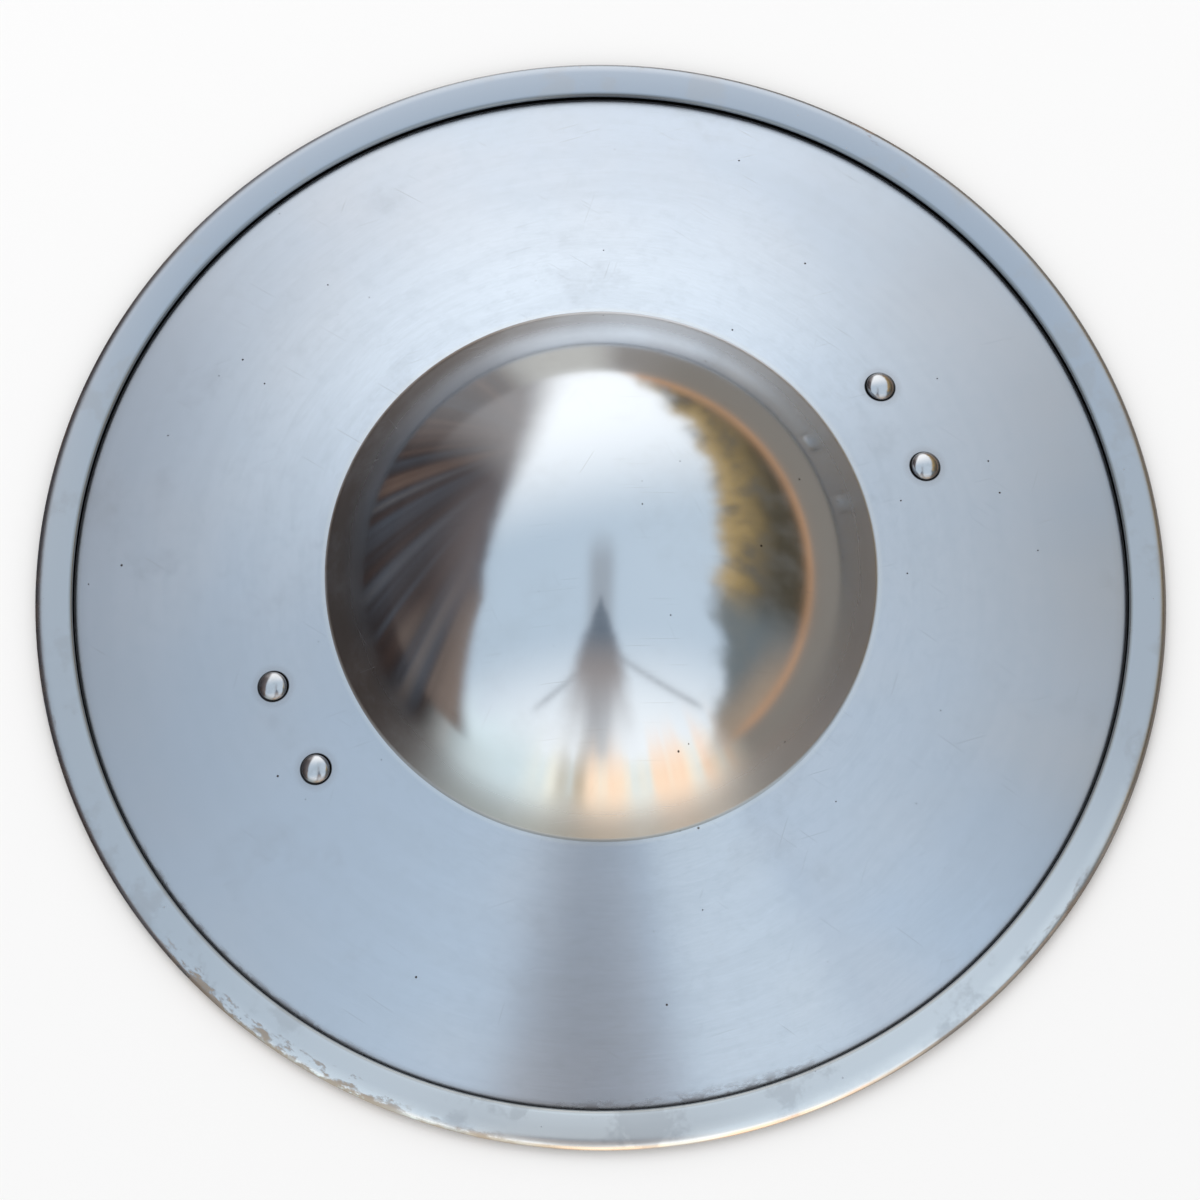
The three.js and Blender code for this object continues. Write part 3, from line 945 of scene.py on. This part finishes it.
# %% Finish of the back, the grip and the rivets
BACK_STEEL = (0.5, 0.51, 0.52, 1.0)
GRIP_STEEL = (0.44, 0.445, 0.45, 1.0)
GRIP_WORN = (0.62, 0.62, 0.61, 1.0)
SCALE_DARK = (0.2, 0.2, 0.205, 1.0)
RIVET_TOP = (0.62, 0.63, 0.65, 1.0)
WORN_HALF_LENGTH = 55 * MM
BACK_SCRATCHES = ((33, 0.3), (101, 0.28))


def plain_finish(name, colour, bar_wear=0.0):
    """Dull satin; bar_wear brightens the middle stretch, where a hand holds it."""
    steel = Steel(name, colour, roughness=0.34)
    held = steel.radius.rise(WORN_HALF_LENGTH * 1.3, WORN_HALF_LENGTH * 0.5)
    steel.coat(held * bar_wear, GRIP_WORN, -0.06)
    bloom = steel.noise(scale=24.0, detail=6.0, roughness=0.6)
    steel.coat(bloom.rise(0.5, 0.68) * 0.55, SCALE_DARK, 0.1)
    lines = steel.brush_lines(fineness=0.9, around=12.0)
    steel.coat((1 - lines).rise(0.42, 0.6) * 0.3, SCALE_DARK, 0.05)
    for degrees, share in BACK_SCRATCHES:
        steel.coat(steel.scratches(degrees, share) * 0.5, GRIP_WORN)
    steel.coat(steel.specks(spacing=6 * MM, size=0.9 * MM, share=0.3) * 0.8, RUST_DARK, 0.2)
    steel.coat(rivet_distance(steel).rise(6.0 * MM, 3.6 * MM) * 0.6, SCALE_DARK, 0.1)
    return steel.finish(anisotropic=0.55)


def rivet_finish():
    steel = Steel("rivet_steel", RIVET_TOP, roughness=0.14)
    out = rivet_distance(steel)
    steel.coat(steel.noise(scale=400.0).rise(0.5, 0.7) * 0.4, BACK_STEEL, 0.1)
    # Painted shade: darker round the lower edge of each head, near black at its foot
    steel.coat(out.rise(HEAD_RADIUS - 1.2 * MM, HEAD_RADIUS - 0.3 * MM) * 0.6, SPECK_AND_SHADE, 0.1)
    steel.coat(out.rise(HEAD_RADIUS - 0.25 * MM, HEAD_RADIUS), CREVICE_SHADE, 0.3)
    return steel.finish(anisotropic=0.0)


back_steel = plain_finish("back_steel", BACK_STEEL)
FINISHES = {BOSS: boss_steel, DISH: dish_steel, BAND: band_steel, BACK: back_steel}
grip_steel = plain_finish("grip_steel", GRIP_STEEL, 0.7)
rivet_steel = rivet_finish()

# %% [markdown]
# ## Turning the body
# The body follows one rule: its section, turned about the axis. A Spin in mesh code would do, but
# in Geometry Nodes the number of facets stays an input. The tree lays out a flat grid with one
# row for each point of the section, reads that point from the section by its index, and
# swings it round by its column. Merging by distance closes the seam and the two poles.

# %% Making and running a Geometry Nodes tree
def geometry_tree(name, inputs):
    """A Geometry Nodes group with a Geometry input, the named inputs, and a Geometry output."""
    group = bpy.data.node_groups.new(name, "GeometryNodeTree")
    tree = Tree(group)
    group.interface.new_socket("Geometry", in_out="INPUT", socket_type="NodeSocketGeometry")
    for label, kind in inputs.items():
        group.interface.new_socket(label, in_out="INPUT", socket_type=kind)
    group.interface.new_socket("Geometry", in_out="OUTPUT", socket_type="NodeSocketGeometry")
    source = group.nodes.new("NodeGroupInput")
    given = {socket.name: Term(tree, socket) for socket in source.outputs if socket.name}
    return group, tree, given


def end_tree(tree, geometry, material):
    """Ends a tree: its copies are made real, given their material and put out."""
    real = tree.node("GeometryNodeRealizeInstances", {}, {"Geometry": geometry})
    done = tree.node("GeometryNodeSetMaterial", {}, {"Geometry": real, "Material": material})
    tree.node("NodeGroupOutput", {}, {"Geometry": done})


def run_tree(owner, group, values):
    """Runs the group on the object and returns its result as a plain mesh, without the modifier."""
    modifier = owner.modifiers.new(group.name, "NODES")
    modifier.node_group = group
    for item in group.interface.items_tree:
        if item.item_type == "SOCKET" and item.in_out == "INPUT" and item.name in values:
            modifier[item.identifier] = values[item.name]
    owner.update_tag()
    bpy.context.view_layer.update()
    seen = owner.evaluated_get(bpy.context.evaluated_depsgraph_get())
    mesh = bpy.data.meshes.new_from_object(seen)
    owner.modifiers.clear()
    return mesh


print("geometry trees take their inputs by name")

# %% [markdown]
# The tree that turns a section: a grid of points, one column more than there are facets, so that
# the last column lands on the first and the weld closes the seam.

# %% Turn a section with Geometry Nodes
SHIELD_FACETS = 360
WELD = 0.02 * MM


def turning_tree():
    """Sweeps the object's points, taken in order as a section, once round the Z axis."""
    kinds = {"Facets": "NodeSocketInt", "Points": "NodeSocketInt", "Weld": "NodeSocketFloat",
             "Material": "NodeSocketMaterial"}
    group, tree, given = geometry_tree("turn_section", kinds)
    columns = given["Facets"] + 1
    grid = tree.node("GeometryNodeMeshGrid", {}, {"Vertices X": columns, "Vertices Y": given["Points"]})
    index = tree.node("GeometryNodeInputIndex")
    across = (index + 0.5) / given["Points"]
    column = across.math("FLOOR", across)
    row = index - column * given["Points"]
    position = tree.node("GeometryNodeInputPosition")
    section = {"Geometry": given["Geometry"], "Value": position, "Index": row}
    point = tree.node("GeometryNodeSampleIndex", {"data_type": "FLOAT_VECTOR"}, section)
    turn = {"Vector": point, "Angle": column / given["Facets"] * math.tau}
    swung = tree.node("ShaderNodeVectorRotate", {"rotation_type": "Z_AXIS"}, turn)
    turned = tree.node("GeometryNodeSetPosition", {}, {"Geometry": grid, "Position": swung})
    rows = {"Geometry": turned, "Name": "row", "Value": row}
    numbered = tree.node("GeometryNodeStoreNamedAttribute", {"data_type": "INT"}, rows)
    merging = {"Geometry": numbered, "Distance": given["Weld"]}
    merged = tree.node("GeometryNodeMergeByDistance", {}, merging)
    smooth = tree.node("GeometryNodeSetShadeSmooth", {}, {"Geometry": merged, "Shade Smooth": True})
    end_tree(tree, smooth, given["Material"])
    return group


TURN_SECTION = turning_tree()
print(TURN_SECTION.name, "has", len(TURN_SECTION.nodes), "nodes")

# %% [markdown]
# The body is then turned, faced outwards and checked for open edges. Each face takes the finish
# of the section row that it starts from, so the crease and the groove are clean borders between
# boss, dish, band and back.

# %% The body
def face_outwards(mesh):
    """Turns every face outwards and checks that the mesh is closed."""
    shell = bmesh.new()
    shell.from_mesh(mesh)
    bmesh.ops.recalc_face_normals(shell, faces=shell.faces)
    if shell.calc_volume(signed=True) < 0:
        bmesh.ops.reverse_faces(shell, faces=shell.faces)
    open_edges = sum(1 for edge in shell.edges if not edge.is_manifold)
    shell.to_mesh(mesh)
    shell.free()
    return open_edges


def turned_piece(name, section, facets, material):
    """The closed solid made by turning a section, given as (radius, height, ...) points."""
    wire = bpy.data.meshes.new(name + "_section")
    wire.from_pydata([(point[0], 0.0, point[1]) for point in section], [], [])
    owner = new_object(name, wire)
    values = {"Facets": facets, "Points": len(section), "Weld": WELD, "Material": material}
    owner.data = run_tree(owner, TURN_SECTION, values)
    print(name, "open edges:", face_outwards(owner.data), "faces:", len(owner.data.polygons))
    return owner


def give_finishes(mesh, finish_of_row):
    """Gives every face the finish of the section point that it starts from."""
    for finish in sorted(FINISHES):
        if finish >= len(mesh.materials):
            mesh.materials.append(None)
        mesh.materials[finish] = FINISHES[finish]
    rows = [datum.value for datum in mesh.attributes["row"].data]
    for face in mesh.polygons:
        face.material_index = finish_of_row[min(rows[v] for v in face.vertices)]
    mesh.attributes.remove(mesh.attributes["row"])


shield = turned_piece("shield", OUTLINE, SHIELD_FACETS, FINISHES[BOSS])
give_finishes(shield.data, [point[2] for point in OUTLINE])
print("faces of each finish:", np.bincount([face.material_index for face in shield.data.polygons]))

# %% [markdown]
# ## Hand work
# A turned solid is too perfect. Hammering and polishing leave the sheet very slightly wavy, which
# the eye reads at once in a mirror finish. The vertices are moved up and down by smooth noise of
# well under a millimetre, front and back together, so the sheet keeps its thickness. The noise
# fades out at the rim, which has to stay flat on the table.

# %% Unevenness of the sheet
WAVE_SIZE = 45 * MM
WAVE_HEIGHT = 0.09 * MM
WAVE_SEED = 3.7
RIM_FADE = 10 * MM


def make_uneven(mesh, wave_size, wave_height, share):
    """Moves points up and down by smooth noise, as far as share(point) allows."""
    most = 0.0
    for vertex in mesh.vertices:
        allowed = share(vertex.co)
        if allowed > 0:
            x, y, _ = vertex.co / wave_size
            wave = wave_height * allowed * smooth_noise.noise(Vector((x, y, WAVE_SEED)))
            vertex.co.z += wave
            most = max(most, abs(wave))
    mesh.update()
    print("moved by up to", round(most / MM, 3), "mm")


def inside_rim(point):
    """1 over the boss and the dish, falling to 0 at the lip."""
    return min(1.0, max(0.0, (LIP - math.hypot(point.x, point.y)) / RIM_FADE))


make_uneven(shield.data, WAVE_SIZE, WAVE_HEIGHT, inside_rim)

# %% [markdown]
# ## The grip
# The grip is a strap of thicker plate. Its bar crosses the hollow of the boss, with both edges
# rolled up so that they are kind to the fingers, and its ends widen into pads that lie against
# the back of the dish. It is made as the smith makes it: a flat blank is cut out, here a fine grid
# with rounded edges, and every point of the blank is then carried to its place on the bent strap.

# %% Grip blank and its bends
GRIP_LENGTH = 208 * MM
BLANK_LEAST_HALF = 0.2 * MM
GRIP_THICKNESS = 2.4 * MM
GRIP_HEIGHT = 11.6 * MM
PAD_HALF_WIDTH = 20 * MM
PAD_CORNER = 6 * MM
BAR_HALF_BLANK = 16 * MM
ROLL_END = 42 * MM
FLAT_START = 64 * MM
LEVEL_END = 56 * MM
PAD_START = 76 * MM
LAND_HALF_WIDTH = 8 * MM
EDGE_ROLL_RADIUS = 6 * MM
GAP = 0.3 * MM
EDGE_ROUND = 0.5 * MM
NEARLY_FLAT = 1e-4


def smoothstep(value, low, high):
    t = min(1.0, max(0.0, (value - low) / (high - low)))
    return t * t * (3 - 2 * t)


def blend(low, high, share):
    return low + (high - low) * share


def blank_half_width(x):
    """Half the width of the flat blank, that far from its middle."""
    along = abs(x)
    width = blend(BAR_HALF_BLANK, PAD_HALF_WIDTH, smoothstep(along, ROLL_END, PAD_START))
    past_corner = along - (GRIP_LENGTH / 2 - PAD_CORNER)
    if past_corner <= 0:
        return width
    return width - PAD_CORNER + math.sqrt(max(0.0, PAD_CORNER ** 2 - past_corner ** 2))


def bend_grip(x, across, depth):
    """Where a point of the blank ends up: x along it, across from -1 to 1 between its edges, and
    depth above the middle of the plate."""
    flat = smoothstep(abs(x), ROLL_END, FLAT_START)
    pad = smoothstep(abs(x), LEVEL_END, PAD_START)
    from_middle = abs(across) * blank_half_width(x)
    curl = (1 - flat) / EDGE_ROLL_RADIUS
    rolled = max(0.0, from_middle - LAND_HALF_WIDTH)
    angle = curl * rolled
    out = math.sin(angle) / curl if curl > NEARLY_FLAT else rolled
    up = (1 - math.cos(angle)) / curl if curl > NEARLY_FLAT else 0.0
    y = min(from_middle, LAND_HALF_WIDTH) + out - depth * math.sin(angle)
    pad_radius = DISH_RADIUS - SHEET / 2 - GAP - GRIP_THICKNESS / 2
    pad_height = DISH_CENTRE + math.sqrt(pad_radius ** 2 - x ** 2 - y ** 2)
    height = blend(GRIP_HEIGHT, pad_height, pad)
    return (x, math.copysign(y, across), height + up + depth * math.cos(angle))


GRIP_STEPS = 160
GRIP_STEPS_ACROSS = 36


def make_grip():
    """A closed strap: two grids of points, top and bottom, sewn along their edges by a rounding."""
    shell = bmesh.new()
    ring = []
    half = GRIP_THICKNESS / 2
    for i in range(GRIP_STEPS + 1):
        x = GRIP_LENGTH / 2 * math.sin(math.pi * (i / GRIP_STEPS - 0.5))
        width = max(blank_half_width(x), BLANK_LEAST_HALF)
        end_inset = EDGE_ROUND if i in (0, GRIP_STEPS) else 0.0
        loop = []
        for side in (1, -1):
            for j in range(GRIP_STEPS_ACROSS + 1):
                across = side * (1 - 2 * j / GRIP_STEPS_ACROSS)
                share = abs(across)
                edge = max(0.0, share * width - (width - EDGE_ROUND))
                drop = EDGE_ROUND - math.sqrt(max(0.0, EDGE_ROUND ** 2 - edge ** 2))
                loop.append(shell.verts.new(bend_grip(x, across, side * (half - drop - end_inset))))
        ring.append(loop)
    count = len(ring[0])
    for i in range(GRIP_STEPS):
        for j in range(count):
            k = (j + 1) % count
            shell.faces.new((ring[i][j], ring[i + 1][j], ring[i + 1][k], ring[i][k]))
    for loop in (ring[0], ring[-1]):
        for j in range(GRIP_STEPS_ACROSS):
            shell.faces.new((loop[j], loop[j + 1], loop[count - 2 - j], loop[count - 1 - j]))
    bmesh.ops.recalc_face_normals(shell, faces=shell.faces)
    for face in shell.faces:
        face.smooth = True
    mesh = bpy.data.meshes.new("grip")
    shell.to_mesh(mesh)
    shell.free()
    mesh.materials.append(grip_steel)
    return new_object("grip", mesh)


GRIP_WAVE_SIZE = 9 * MM
GRIP_WAVE_HEIGHT = 0.13 * MM

grip = make_grip()
make_uneven(grip.data, GRIP_WAVE_SIZE, GRIP_WAVE_HEIGHT, lambda point: 1.0)
print("grip open edges:", face_outwards(grip.data), "faces:", len(grip.data.polygons))

# %% [markdown]
# ## The rivets
# Each rivet is a turned pin with a low polished dome outside. Behind, its tail has been hammered
# over on the strap. One rivet is turned from its section, and Geometry Nodes puts a copy on each
# of four points of the dish, leaning with the surface there: away from the dish's centre.

# %% Rivets on the dish
SHANK_RADIUS = 2 * MM
HEAD_HEIGHT = 2.1 * MM
TAIL_RADIUS = 3.4 * MM
TAIL_HEIGHT = 1.5 * MM
RIVET_FACETS = 64
DOME_STEPS = 14
HEAD_SEAT = 0.03 * MM
TAIL_BASE = -(SHEET / 2 + GAP + GRIP_THICKNESS + HEAD_SEAT)
HAMMER_SIZE = 1.6 * MM
HAMMER_DEPTH = 0.5 * MM
HAMMER_START = 0.2 * MM


def dome(radius, base, height):
    """The section of a dome, from its foot up to its top on the axis."""
    steps = [math.pi / 2 * i / DOME_STEPS for i in range(DOME_STEPS)]
    side = [(radius * math.cos(angle), base + height * math.sin(angle)) for angle in steps]
    return side + [(0.0, base + height)]


def rivet_section():
    head_base = SHEET / 2 + HEAD_SEAT
    tail = dome(TAIL_RADIUS, TAIL_BASE, -TAIL_HEIGHT)[::-1]
    shank = [(SHANK_RADIUS, TAIL_BASE), (SHANK_RADIUS, head_base)]
    return tail + shank + dome(HEAD_RADIUS, head_base, HEAD_HEIGHT)


def on_tail(point):
    """Grows down the tail, which the hammer has flattened unevenly."""
    return smoothstep(TAIL_BASE - point.z, HAMMER_START, TAIL_HEIGHT)


def seating_tree():
    """Puts a copy of one piece on every point, leaning away from a centre."""
    kinds = {"Piece": "NodeSocketObject", "Centre": "NodeSocketVector", "Material": "NodeSocketMaterial"}
    group, tree, given = geometry_tree("seat_on_points", kinds)
    piece = tree.node("GeometryNodeObjectInfo", {}, {"Object": given["Piece"]}, "Geometry")
    position = tree.node("GeometryNodeInputPosition")
    lean = tree.vector("SUBTRACT", position, given["Centre"])
    turn = tree.node("FunctionNodeAlignRotationToVector", {"axis": "Z"}, {"Vector": lean})
    seats = {"Points": given["Geometry"], "Instance": piece, "Rotation": turn}
    seated = tree.node("GeometryNodeInstanceOnPoints", {}, seats)
    end_tree(tree, seated, given["Material"])
    return group


def make_rivets():
    pattern = turned_piece("rivet_pattern", rivet_section(), RIVET_FACETS, rivet_steel)
    make_uneven(pattern.data, HAMMER_SIZE, HAMMER_DEPTH, on_tail)
    height = DISH_CENTRE + math.sqrt(DISH_RADIUS ** 2 - RIVET_X ** 2 - RIVET_Y ** 2)
    seats = bpy.data.meshes.new("rivet_seats")
    seats.from_pydata([(x, y, height) for x in (RIVET_X, -RIVET_X) for y in (RIVET_Y, -RIVET_Y)], [], [])
    owner = new_object("grip_rivets", seats)
    values = {"Piece": pattern, "Centre": (0.0, 0.0, DISH_CENTRE), "Material": rivet_steel}
    owner.data = run_tree(owner, seating_tree(), values)
    owner.data.attributes.remove(owner.data.attributes["row"])
    bpy.data.objects.remove(pattern)
    return owner


rivets = make_rivets()
print("rivets:", len(rivets.data.polygons), "faces")

# %% [markdown]
# ## Joining the frame
# All six pieces are one rigid body, so the three fine meshes ride on "root" and stand for the
# measured nodes, which stay hidden for the physics.

# %% Ride and replace
RIVET_NODES = [f"grip_rivet_{number}" for number in range(1, 5)]
STANDS_FOR = ((shield, "shield_steel", ["shield_body"]), (grip, "grip_steel", ["hand_grip"]),
              (rivets, "rivet_steel", RIVET_NODES))
for piece, finish_slot, nodes in STANDS_FOR:
    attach(piece, "root")
    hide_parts(*nodes)
